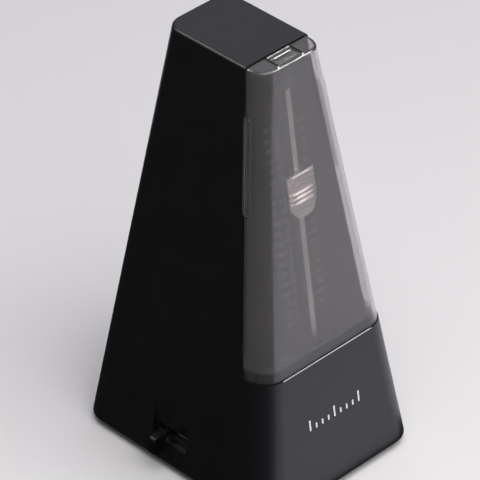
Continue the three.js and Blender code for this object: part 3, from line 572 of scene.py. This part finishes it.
def shelf_chamfer(height):
    """What the chamfer takes off the shelf's front edge, between the case's rounded corners."""
    spare = 0.2 * MM
    slope = CHAMFER_DEEP / CHAMFER_TALL * spare
    straight = taper(BASE_HALF.x - BASE_CORNER, TOP_HALF.x - TOP_CORNER, height)
    waste = block("waste", (-straight, -90 * MM, SHELF - CHAMFER_TALL - spare / 2),
                  (straight, CHAMFER_BACK, SHELF + spare / 2))
    return cut(waste, loft("kept", [case_ring(height - CHAMFER_TALL - spare, -slope),
                                    case_ring(height + spare, CHAMFER_DEEP + slope)]))


def case_shell():
    shell = pyramid("case_shell", 0, 0, CASE_TALL, RIM, HEM)
    cut(shell, pyramid("hollow", WALL, -1 * MM, CASE_TALL - ROOF))
    join(shell, keep(block("boss", *BOSS), pyramid("limit", 0.4 * MM, 1 * MM, 60 * MM)))
    cut(shell, lid_zone("zone", 0))
    height = SHELF - FLOOR_GAP
    join(shell, shelf_ledge(height), shelf_lip(height))
    cut(shell, block("rod_slot", (-14 * MM, -46 * MM, SHELF - 6 * MM),
                     (14 * MM, -40.4 * MM, SHELF + 2 * MM)))
    recess = rounded_block("recess", (-BEYOND_X, RECESS_X), RECESS_Y, RECESS_Z, 1.4 * MM)
    slot = rounded_block("slot", (-BEYOND_X, -40 * MM), SLOT_Y, SLOT_Z, 0.8 * MM)
    hole = cylinder("hole", KEY_HOLE, 40 * MM, 60 * MM, 0, (KEY_AXIS.y, KEY_AXIS.z))
    cut(shell, recess, slot, hole, shelf_chamfer(height))

    def recess_edge(middle, edge):
        on_recess = middle.x < RECESS_X + 0.05 * MM and middle.z < RECESS_TOP
        return on_recess and RECESS_Y[0] - MM < middle.y < RECESS_Y[1] + MM

    round_edges(shell, 0.22 * MM, recess_edge, segments=2)
    dress(smooth(shell), BLACK, "case_plastic", "case", "main_case")

    def on_chamfer(face):
        sloping = 0.3 < face.normal.z < 0.95
        in_front = face.center.y < CHAMFER_BACK
        return sloping and in_front and SHELF - CHAMFER_TALL < face.center.z < SHELF

    # the chamfer gets the glossier finish and a painted highlight, a lighter black
    second_material(shell, GLOSS_EDGE_HIGHLIGHT, on_chamfer)


make_camera()
case_shell()


# ---------------------------------------------------------------- lid
RIB_LOW, RIB_HIGH = FLOOR_GAP + 147.5 * MM, FLOOR_GAP + 193.8 * MM
RIB_WIDE = 4.0 * MM
RIB_PROUD, GROOVE_FLOOR = 0.85 * MM, 0.5 * MM        # both from the case's face, outwards
GROOVES = 3
GROOVE_WIDE, GROOVE_SHORT = 0.3 * MM, 1.5 * MM       # a groove stops short of the rib's ends
SLIT_X, SLIT_HALF = 7.6 * MM, 0.4 * MM               # the slits beside the lid's tongue
SLIT_Y = (-25.9 * MM, -10 * MM)
TONGUE_HALF = 7 * MM
TONGUE_STEPS = ((-23.9 * MM, -20.4 * MM), (-25.1 * MM, -24.6 * MM))
TONGUE_RIDGES = ((-18.1 * MM, 6.8 * MM), (-20.6 * MM, 5 * MM))           # place, half its length
CUT_SKIN = 0.3 * MM                                  # how deep the painted shade reaches on the lid's cut faces


def beside_seam(name, near, wide, short, ends):
    """A strip along the rib, near in front of the seam; short is left off at both ends."""
    low, high = RIB_LOW + short, RIB_HIGH - short
    low_y, high_y = seam_y(RIB_LOW) - near, seam_y(RIB_HIGH) - near
    outline = [(low_y, low), (high_y, high), (high_y - wide, high), (low_y - wide, low)]
    return prism(name, outline, 0, *ends)


def seam_rib(side):
    """The raised grip along the seam, grooved along its length."""
    ends = sorted((side * 5 * MM, side * BEYOND_X))
    rib = pyramid("rib", -RIB_PROUD, 140 * MM, 200 * MM)
    cut(rib, pyramid("inside", LID_INSET + LID_WALL / 2, 130 * MM, 210 * MM))
    keep(rib, beside_seam("band", SHUT, RIB_WIDE, 0, ends))
    round_edges(rib, 0.35 * MM)
    for i in range(GROOVES):
        near = SHUT + RIB_WIDE * (i + 0.85) / (GROOVES + 0.5)
        groove = beside_seam("groove", near, GROOVE_WIDE, GROOVE_SHORT, ends)
        cut(rib, cut(groove, pyramid("deep", -GROOVE_FLOOR, 141 * MM, 199 * MM)))
    return rib


def latch_tongue(lid):
    """Slits, two shallow steps and two fine ridges in the lid's top, by the latch."""
    top = LID_HIGH.z
    above = top + 4 * MM
    for x in (-SLIT_X, SLIT_X):
        cut(lid, block("slit", (x - SLIT_HALF, SLIT_Y[0], top - 4 * MM),
                       (x + SLIT_HALF, SLIT_Y[1], above)))
    for front, back in TONGUE_STEPS:
        cut(lid, block("step", (-TONGUE_HALF, front, top - 0.5 * MM), (TONGUE_HALF, back, above)))
    for y, half in TONGUE_RIDGES:
        foot = top - 0.05 * MM
        roof = [(y - 0.34 * MM, foot), (y, top + 0.25 * MM), (y + 0.15 * MM, foot)]
        join(lid, prism("tongue_ridge", roof, 0, -half, half))


def lid_shell():
    top = LID_HIGH.z
    tall = top - FLOOR_GAP
    lid = pyramid("smoke_lid", LID_INSET, 50 * MM, tall, RIM)
    cut(lid, pyramid("hollow", LID_INSET + LID_WALL, 40 * MM, tall - LID_WALL))
    keep(lid, lid_zone("zone", SHUT))

    def edge_line(middle, edge):
        at_seam = abs(middle.y - (seam_y(middle.z) - SHUT)) < 0.05 * MM
        return at_seam or middle.z < SHELF + SHUT + LID_CORNER

    round_edges(lid, 0.13 * MM, edge_line, segments=2)
    join(lid, seam_rib(-1))
    join(lid, seam_rib(1))
    latch_tongue(lid)
    dress(smooth(lid), SMOKE, "smoke_plastic", "lid", "front_lid")

    corner = Vector((seam_y(LID_LOW.z) - SHUT - LID_CORNER, LID_LOW.z + LID_CORNER))

    def cut_face(face):
        """Faces on the seam, the foot and the slits, which get painted shade, darker than the walls."""
        x, y, z = face.center
        on_seam = y > seam_y(z) - SHUT - CUT_SKIN and z > corner.y
        on_foot = z < LID_LOW.z + CUT_SKIN
        from_corner = Vector((y, z)) - corner
        round_corner = from_corner.length > LID_CORNER - CUT_SKIN
        on_corner = from_corner.x > 0 and from_corner.y < 0 and round_corner
        by_slit = abs(abs(x) - SLIT_X) < 0.5 * MM and z > top - 2 * MM
        in_slit = by_slit and abs(face.normal.x) > 0.7
        return on_seam or on_foot or on_corner or in_slit

    # painted shade on the seam, foot, corner and slit faces
    second_material(lid, SMOKE_EDGE_SHADE, cut_face)


lid_shell()


# ---------------------------------------------------------------- scale
TEMPI = [40, 42, 44, 46, 48, 50, 52, 54, 56, 58, 60, 63, 66, 69, 72, 76, 80, 84, 88, 92, 96, 100, 104,
         108, 112, 116, 120, 126, 132, 138, 144, 152, 160, 168, 176, 184, 192, 200, 208]
SCALE_TOP = 133 * MM                                 # from the pivot, along the rod
SCALE_BOTTOM = 32 * MM
NUMBER_X, TICK_X, LINE_X = 10.6 * MM, 6.2 * MM, 4.6 * MM
TICK_HALF, LINE_HALF = 1.5 * MM, 0.15 * MM
INK_HALF, INK_LIFT = 0.04 * MM, 0.05 * MM


def text_mesh(body, size, depth):
    """Upright lettering in the X-Z plane, facing -Y, centred on the origin."""
    curve = bpy.data.curves.new("text", "FONT")
    curve.body = body
    curve.size = size
    curve.extrude = depth / 2
    curve.align_x = "CENTER"
    curve.align_y = "CENTER"
    curve.resolution_u = 3
    holder = bpy.data.objects.new("text", curve)
    scene.collection.objects.link(holder)
    bpy.context.view_layer.update()
    graph = bpy.context.evaluated_depsgraph_get()
    mesh = bpy.data.meshes.new_from_object(holder.evaluated_get(graph))
    bpy.data.objects.remove(holder)
    mesh.transform(Matrix.Rotation(math.pi / 2, 4, "X"))
    return mesh


def tempo_place(i):
    """How far the i-th tempo lies from the pivot, along the rod."""
    return SCALE_TOP + (SCALE_BOTTOM - SCALE_TOP) * i / (len(TEMPI) - 1)


def printed(piece, x, along):
    """Lay a mark on the panel's face: x across, along the rod's direction from the pivot."""
    forward = Vector((0, -ALONG_ROD.z, ALONG_ROD.y))
    behind = forward * (PANEL_BEHIND_ROD * ALONG_ROD.z - INK_LIFT)
    place = PIVOT + ALONG_ROD * along + Vector((x, 0, 0)) - behind
    piece.matrix_world = Matrix.Translation(place) @ ROD_TILT
    return piece


def scale_board():
    low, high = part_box("scale_panel")
    thick = 1.6 * MM
    face = [(panel_y(low.z), low.z), (panel_y(high.z), high.z)]
    rear = [(y + thick, z) for y, z in face[::-1]]
    board = prism("scale_board", face + rear, 0, -BEYOND_X, BEYOND_X)
    keep(board, pyramid("limit", WALL + 0.3 * MM, 20 * MM, CASE_TALL - 2.9 * MM))
    round_edges(board, 0.3 * MM, segments=2)
    dress(smooth(board), PANEL_BLACK, "panel_plastic", "case", "scale_panel")


def scale_marks():
    """The numbers, with a tick beside each, and the two lines beside the rod."""
    marks = []
    for i, tempo in enumerate(TEMPI):
        side = -1 if i % 2 == 0 else 1
        number = link("mark", text_mesh(str(tempo), 3.1 * MM, 2 * INK_HALF))
        marks.append(printed(number, side * NUMBER_X, tempo_place(i)))
        tick = block("mark", (-TICK_HALF, -INK_HALF, -LINE_HALF), (TICK_HALF, INK_HALF, LINE_HALF))
        marks.append(printed(tick, side * TICK_X, tempo_place(i)))
    for side in (-1, 1):
        line = block("mark", (-LINE_HALF, -INK_HALF, SCALE_BOTTOM - 2 * MM),
                     (LINE_HALF, INK_HALF, SCALE_TOP + 2 * MM))
        marks.append(printed(line, side * LINE_X, 0))
    bpy.context.view_layer.update()
    dress(merged("scale_marks", marks), SCALE_INK, "panel_plastic", "case")


scale_board()
scale_marks()


# ---------------------------------------------------------------- pendulum
ROD_HALF = (1.5 * MM, 0.6 * MM)
ROD_ENDS = (-45.6 * MM, 151 * MM)                    # from the pivot
EYE, PIN_BORE = 4.2 * MM, 1.8 * MM
WEIGHT_AT = 97.7 * MM                                # from the pivot
WEIGHT_LOW, WEIGHT_HIGH = WEIGHT_AT - 13 * MM, WEIGHT_AT + 12 * MM
RIDGES = (3.25 * MM, 0.8 * MM, -1.7 * MM)            # from the weight's middle
RIDGE_SECTION = ((-0.60 * MM, 0.0), (-0.45 * MM, 0.75 * MM), (-0.25 * MM, 0.80 * MM), (0.55 * MM, 0.0))


def along_pendulum(piece):
    """Move a piece that is made upright, with the pivot at the origin, to where the rod stands."""
    piece.data.transform(Matrix.Translation(PIVOT) @ ROD_TILT)
    return piece


def pendulum_rod():
    """A flat strip with an eye for the pivot pin, and a notch in its front for each tempo."""
    wide, deep = ROD_HALF
    strip = block("rod_strip", (-wide, -deep, ROD_ENDS[0]), (wide, deep, ROD_ENDS[1]))
    eye = cylinder("eye", EYE, -deep, deep, 1, (0, 0))
    cut(join(strip, eye), cylinder("bore", PIN_BORE, -3 * MM, 3 * MM, 1, (0, 0)))
    for i in range(len(TEMPI)):
        z = tempo_place(i)
        cut(strip, block("notch", (-2 * MM, -0.8 * MM, z - 0.14 * MM),
                         (2 * MM, -0.5 * MM, z + 0.14 * MM)))
    round_edges(strip, 0.14 * MM, lambda middle, edge: abs(abs(middle.x) - wide) < 0.01 * MM, 2)
    dress(smooth(along_pendulum(strip)), ALUMINIUM, "rod_aluminium", "pendulum", "pendulum_rod")


def sliding_weight():
    """A shield: flat top, thin wings beside a thick middle, half-oval foot, three grip ridges."""
    half, flat, front, wing = 8.4 * MM, 4.85 * MM, -3.9 * MM, -2.75 * MM
    thick, rear = 4.6 * MM, 2.4 * MM
    section = [(-flat, front), (flat, front), (half, wing), (half, wing + MM), (thick, -1.6 * MM),
               (thick, rear), (-thick, rear), (-thick, -1.6 * MM), (-half, wing + MM), (-half, wing)]
    body = prism("weight_shield", section, 2, WEIGHT_LOW, WEIGHT_HIGH)

    bevel = [(-6 * MM, WEIGHT_LOW), (4 * MM, WEIGHT_LOW), (4 * MM, WEIGHT_HIGH),
             (front + 0.8 * MM, WEIGHT_HIGH), (-6 * MM, WEIGHT_HIGH - 2.9 * MM)]
    keep(body, prism("bevel", bevel, 0, -10 * MM, 10 * MM))

    shoulder, foot = WEIGHT_AT - 2.9 * MM, 7.6 * MM
    outline = [(-half, WEIGHT_HIGH)]
    outline += [(half * math.cos(a), shoulder + foot * math.sin(a))
                for a in (math.radians(180 + 6 * k) for k in range(31))]
    outline.append((half, WEIGHT_HIGH))
    keep(body, prism("outline", outline, 1, -6 * MM, 4 * MM))
    round_edges(body, 0.2 * MM, lambda middle, edge: middle.y < wing + 0.3 * MM, 2, 20)

    for height in RIDGES:
        rings = []
        for rise, proud in RIDGE_SECTION:
            section = [(-flat, front - proud), (flat, front - proud), (half, wing - proud),
                       (half, wing + 0.5 * MM), (-half, wing + 0.5 * MM), (-half, wing - proud)]
            rings.append([(x, y, WEIGHT_AT + height + rise) for x, y in section])
        join(body, loft("ridge", rings))
    cut(body, block("slot", (-1.8 * MM, -0.9 * MM, 0), (1.8 * MM, 1.6 * MM, 200 * MM)))
    dress(smooth(along_pendulum(body)), NICKEL, "weight_metal", "weight", "sliding_weight")


pendulum_rod()
sliding_weight()


# ---------------------------------------------------------------- lever, key, feet
def beat_lever():
    """A rounded knob that hangs outside the slot on a flat neck."""
    reach = LEVER_LOW.x
    half, neck_half = 2.1 * MM, 1.3 * MM
    outline = [(-48.8 * MM, 18.2 * MM), (-49 * MM, 20.4 * MM), (-52.4 * MM, 20.8 * MM),
               (-54.6 * MM, 20.8 * MM)]
    outline += arc((reach + 2.5 * MM, 18.3 * MM), 2.5 * MM, 90, 180, 6)[1:]
    outline += arc((reach + 2.6 * MM, 13.1 * MM), 2.6 * MM, 180, 255, 6)
    outline += [(-52 * MM, 10.4 * MM), (-50.2 * MM, 10.5 * MM)]
    knob = prism("lever_knob", outline, 1, LEVER_AT - half, LEVER_AT + half)
    round_edges(knob, 0.6 * MM, lambda m, e: abs(abs(m.y - LEVER_AT) - half) < 0.01 * MM, 4, 20)
    neck = block("neck", (-50.5 * MM, LEVER_AT - neck_half, 18.1 * MM),
                 (-43.8 * MM, LEVER_AT + neck_half, 20.3 * MM))
    join(knob, neck)
    dress(smooth(knob), LEVER_BLACK, "case_plastic", "selector", "beat_lever")


def winding_key():
    """A hub with a hollow end, and two oval wings across it."""
    low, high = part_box("winding_key")
    reach = high.x
    y, z = KEY_AXIS.y, KEY_AXIS.z
    neck, hub_radius, rim = 4 * MM, 4.6 * MM, 0.9 * MM
    profile = [(0, low.x), (neck, low.x), (neck, 47.2 * MM), (hub_radius, 47.8 * MM),
               (hub_radius, reach - rim)]
    profile += arc((3.7 * MM, reach - rim), rim, 0, 90, 4)[1:]
    profile += [(2.9 * MM, reach), (2.5 * MM, reach - 0.5 * MM), (0, reach - 0.5 * MM)]
    hub = turned("key_wings", profile, 0, (y, z))
    cut(hub, cylinder("socket", 3.3 * MM, 20 * MM, 42 * MM, 0, (y, z)))

    wing_y, wing_long, wing_half = y + 7 * MM, 5, 3.4
    outline = arc((wing_y, z), wing_half * MM, -90, 90, 14)
    outline = [(wing_y + (py - wing_y) * wing_long / wing_half, pz) for py, pz in outline]
    outline += [(2 * y - py, 2 * z - pz) for py, pz in outline]
    wings = prism("wings", outline, 0, 48 * MM, reach - 0.8 * MM)
    round_edges(wings, 1.0 * MM, segments=4)
    join(hub, wings)
    dress(smooth(hub), LEVER_BLACK, "case_plastic", "key", "winding_key")


def feet():
    """Four round pads, hollow underneath for the screw's head, with a hole for the screw."""
    hollow, deep, lip = 3.4 * MM, 2.2 * MM, 0.8 * MM
    for corner in ("front_left", "front_right", "back_left", "back_right"):
        node = f"foot_{corner}"
        low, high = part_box(node)
        at = ((low.x + high.x) / 2, (low.y + high.y) / 2)
        top = high.z
        profile = [(0, deep), (hollow, deep), (hollow, 0.3 * MM), (3.7 * MM, 0), (6.0 * MM, 0)]
        profile += arc((6.0 * MM, lip), lip, -90, 0, 4)[1:]
        profile += [(6.8 * MM, top - 0.3 * MM), (6.5 * MM, top), (0, top)]
        pad = turned(f"pad_{corner}", profile, 2, at)
        cut(pad, cylinder("bore", 1.9 * MM, -1 * MM, 6 * MM, 2, at))
        dress(smooth(pad), RUBBER, "foot_rubber", "case", node)


beat_lever()
winding_key()
feet()


# ---------------------------------------------------------------- numerals by the lever, printed mark
NUMERALS = "02346"                                   # beats in a bar, one for each place of the lever
BAR_HEIGHTS = (5.6, 2.6, 2.6, 2.6, 5.6, 2.6, 2.6, 2.6, 5.6)              # of the printed mark, mm
BAR_PITCH, BAR_FOOT = 4 * MM, -2.8 * MM
MARK_Z = 40.5 * MM


def lever_numerals():
    """Raised numerals over the slot, one for each place of the lever."""
    step = JOINTS["beat_select"]["range_m"][1] / (len(NUMERALS) - 1)
    face_left = Matrix.Rotation(-math.pi / 2, 4, "Z")
    raised = []
    for i, numeral in enumerate(NUMERALS):
        mark = link("numeral", text_mesh(numeral, 4.0 * MM, 0.4 * MM))
        place = Vector((RECESS_X - 0.1 * MM, LEVER_AT - step * i, 28.2 * MM))
        mark.matrix_world = Matrix.Translation(place) @ face_left
        raised.append(mark)
    bpy.context.view_layer.update()
    dress(merged("lever_numerals", raised), BLACK, "case_plastic", "case")


def beat_mark():
    """A plain printed mark: a row of upright bars, as beats in a bar."""
    lean = Matrix.Rotation(-math.atan((front_y(MARK_Z + MM) - front_y(MARK_Z)) / MM), 4, "X")
    middle = len(BAR_HEIGHTS) // 2
    bars = []
    for i, height in enumerate(BAR_HEIGHTS):
        bar = block("bar", (-0.45 * MM, -0.03 * MM, BAR_FOOT),
                    (0.45 * MM, 0.03 * MM, BAR_FOOT + height * MM))
        place = Vector((BAR_PITCH * (i - middle), front_y(MARK_Z) - 0.02 * MM, MARK_Z))
        bar.matrix_world = Matrix.Translation(place) @ lean
        bars.append(bar)
    bpy.context.view_layer.update()
    dress(merged("beat_mark", bars), WHITE_INK, "case_plastic", "case")


lever_numerals()
beat_mark()


# ---------------------------------------------------------------- inside pieces
MATERIAL_OF_SLOT = {
    "case_plastic": BLACK,
    "panel_plastic": PANEL_BLACK,
    "smoke_plastic": SMOKE,
    "foot_rubber": RUBBER,
    "steel": STEEL,
    "spring_steel": BLUED,
    "bell_steel": CHROME,
    "weight_metal": NICKEL,
    "rod_aluminium": ALUMINIUM,
    "dark_brass": LEAD,
    "brass": BRASS,
}


def finish_cad_nodes():
    """Give every CAD piece the material of its slot in the record."""
    slot_of = {part["node"]: part["material_slot"] for part in frame["record"]["subparts"]}
    for name, node in frame["nodes"].items():
        node.data.materials.clear()
        node.data.materials.append(MATERIAL_OF_SLOT[slot_of[name]])


finish_cad_nodes()


# ---------------------------------------------------------------- floor and light
COOL = (0.98, 0.955, 1.06)
WARM = (1, 0.985, 0.985)
WORLD_TINT = (0.92, 0.91, 1.0, 1)
WORLD_BELOW, WORLD_ABOVE = 0.025, 0.20               # strength under and over the horizon
HORIZON = 0.05                                       # half the height of the step between them


def stage_floor():
    n = Nodes("floor")
    colour = n.mix(n.remap(n.noise(3, 2), 0, 1), (0.82, 0.81, 0.81), (0.85, 0.84, 0.84))
    n.set(Base_Color=colour, Roughness=0.9, Specular_IOR_Level=0.1)
    bm = bmesh.new()
    bmesh.ops.create_grid(bm, x_segments=1, y_segments=1, size=6)
    floor = from_bmesh("floor", bm)
    floor.data.materials.append(n.material)
    floor.visible_glossy = False


def area_light(name, place, target, size, power, colour=(1, 1, 1)):
    data = bpy.data.lights.new(name, "AREA")
    data.shape = "RECTANGLE"
    data.size, data.size_y = size
    data.energy = power
    data.color = colour
    light = bpy.data.objects.new(name, data)
    scene.collection.objects.link(light)
    aim = (Vector(target) - Vector(place)).to_track_quat("-Z", "Y")
    light.matrix_world = Matrix.Translation(place) @ aim.to_matrix().to_4x4()
    return light


def sky():
    """A dim even sky, with less light from under the horizon."""
    world = bpy.data.worlds.new("studio")
    world.use_nodes = True
    tree = world.node_tree
    direction = tree.nodes.new("ShaderNodeTexCoord").outputs["Generated"]
    split = tree.nodes.new("ShaderNodeSeparateXYZ")
    tree.links.new(direction, split.inputs[0])
    strength = tree.nodes.new("ShaderNodeMapRange")
    tree.links.new(split.outputs["Z"], strength.inputs["Value"])
    strength.inputs["From Min"].default_value = -HORIZON
    strength.inputs["From Max"].default_value = HORIZON
    strength.inputs["To Min"].default_value = WORLD_BELOW
    strength.inputs["To Max"].default_value = WORLD_ABOVE
    background = tree.nodes["Background"]
    background.inputs["Color"].default_value = WORLD_TINT
    tree.links.new(strength.outputs["Result"], background.inputs["Strength"])
    scene.world = world


def studio():
    """One big soft light overhead, and smaller ones for the edges and the dark sides.

    A weak light behind shows the far corner. Two narrow lights are seen only as highlights along
    the edges. Two cards lie on the floor, out of the camera's sight, and light the case from below.
    """
    sky()
    scene.view_settings.view_transform = "Standard"
    area_light("overhead", (-0.04, -0.52, 1.18), (-0.02, -0.05, 0.05), (1.3, 1.3), 17.5, WARM)
    area_light("back_right", (0.70, 0.70, 0.92), (0, 0, 0.2), (1.0, 1.0), 1.6, COOL)
    strip = area_light("edge_strip", (1.0, -0.86, 1.20), (0.0, -0.02, 0.12), (0.45, 0.9), 18)
    rim = area_light("rim_strip", (-0.64, 0.92, 1.33), (0, 0, 0.2), (0.6, 0.6), 11)
    for light in (strip, rim):
        light.visible_diffuse = False
    front = area_light("front_card", (0.30, -0.4075, 0.004), (0.30, -0.4075, 1), (0.7, 0.685), 1.6, COOL)
    right = area_light("right_card", (0.36, 0.19, 0.004), (0.36, 0.19, 1), (0.6, 0.51), 1.0, COOL)
    for card in (front, right):
        card.visible_camera = False


stage_floor()
studio()
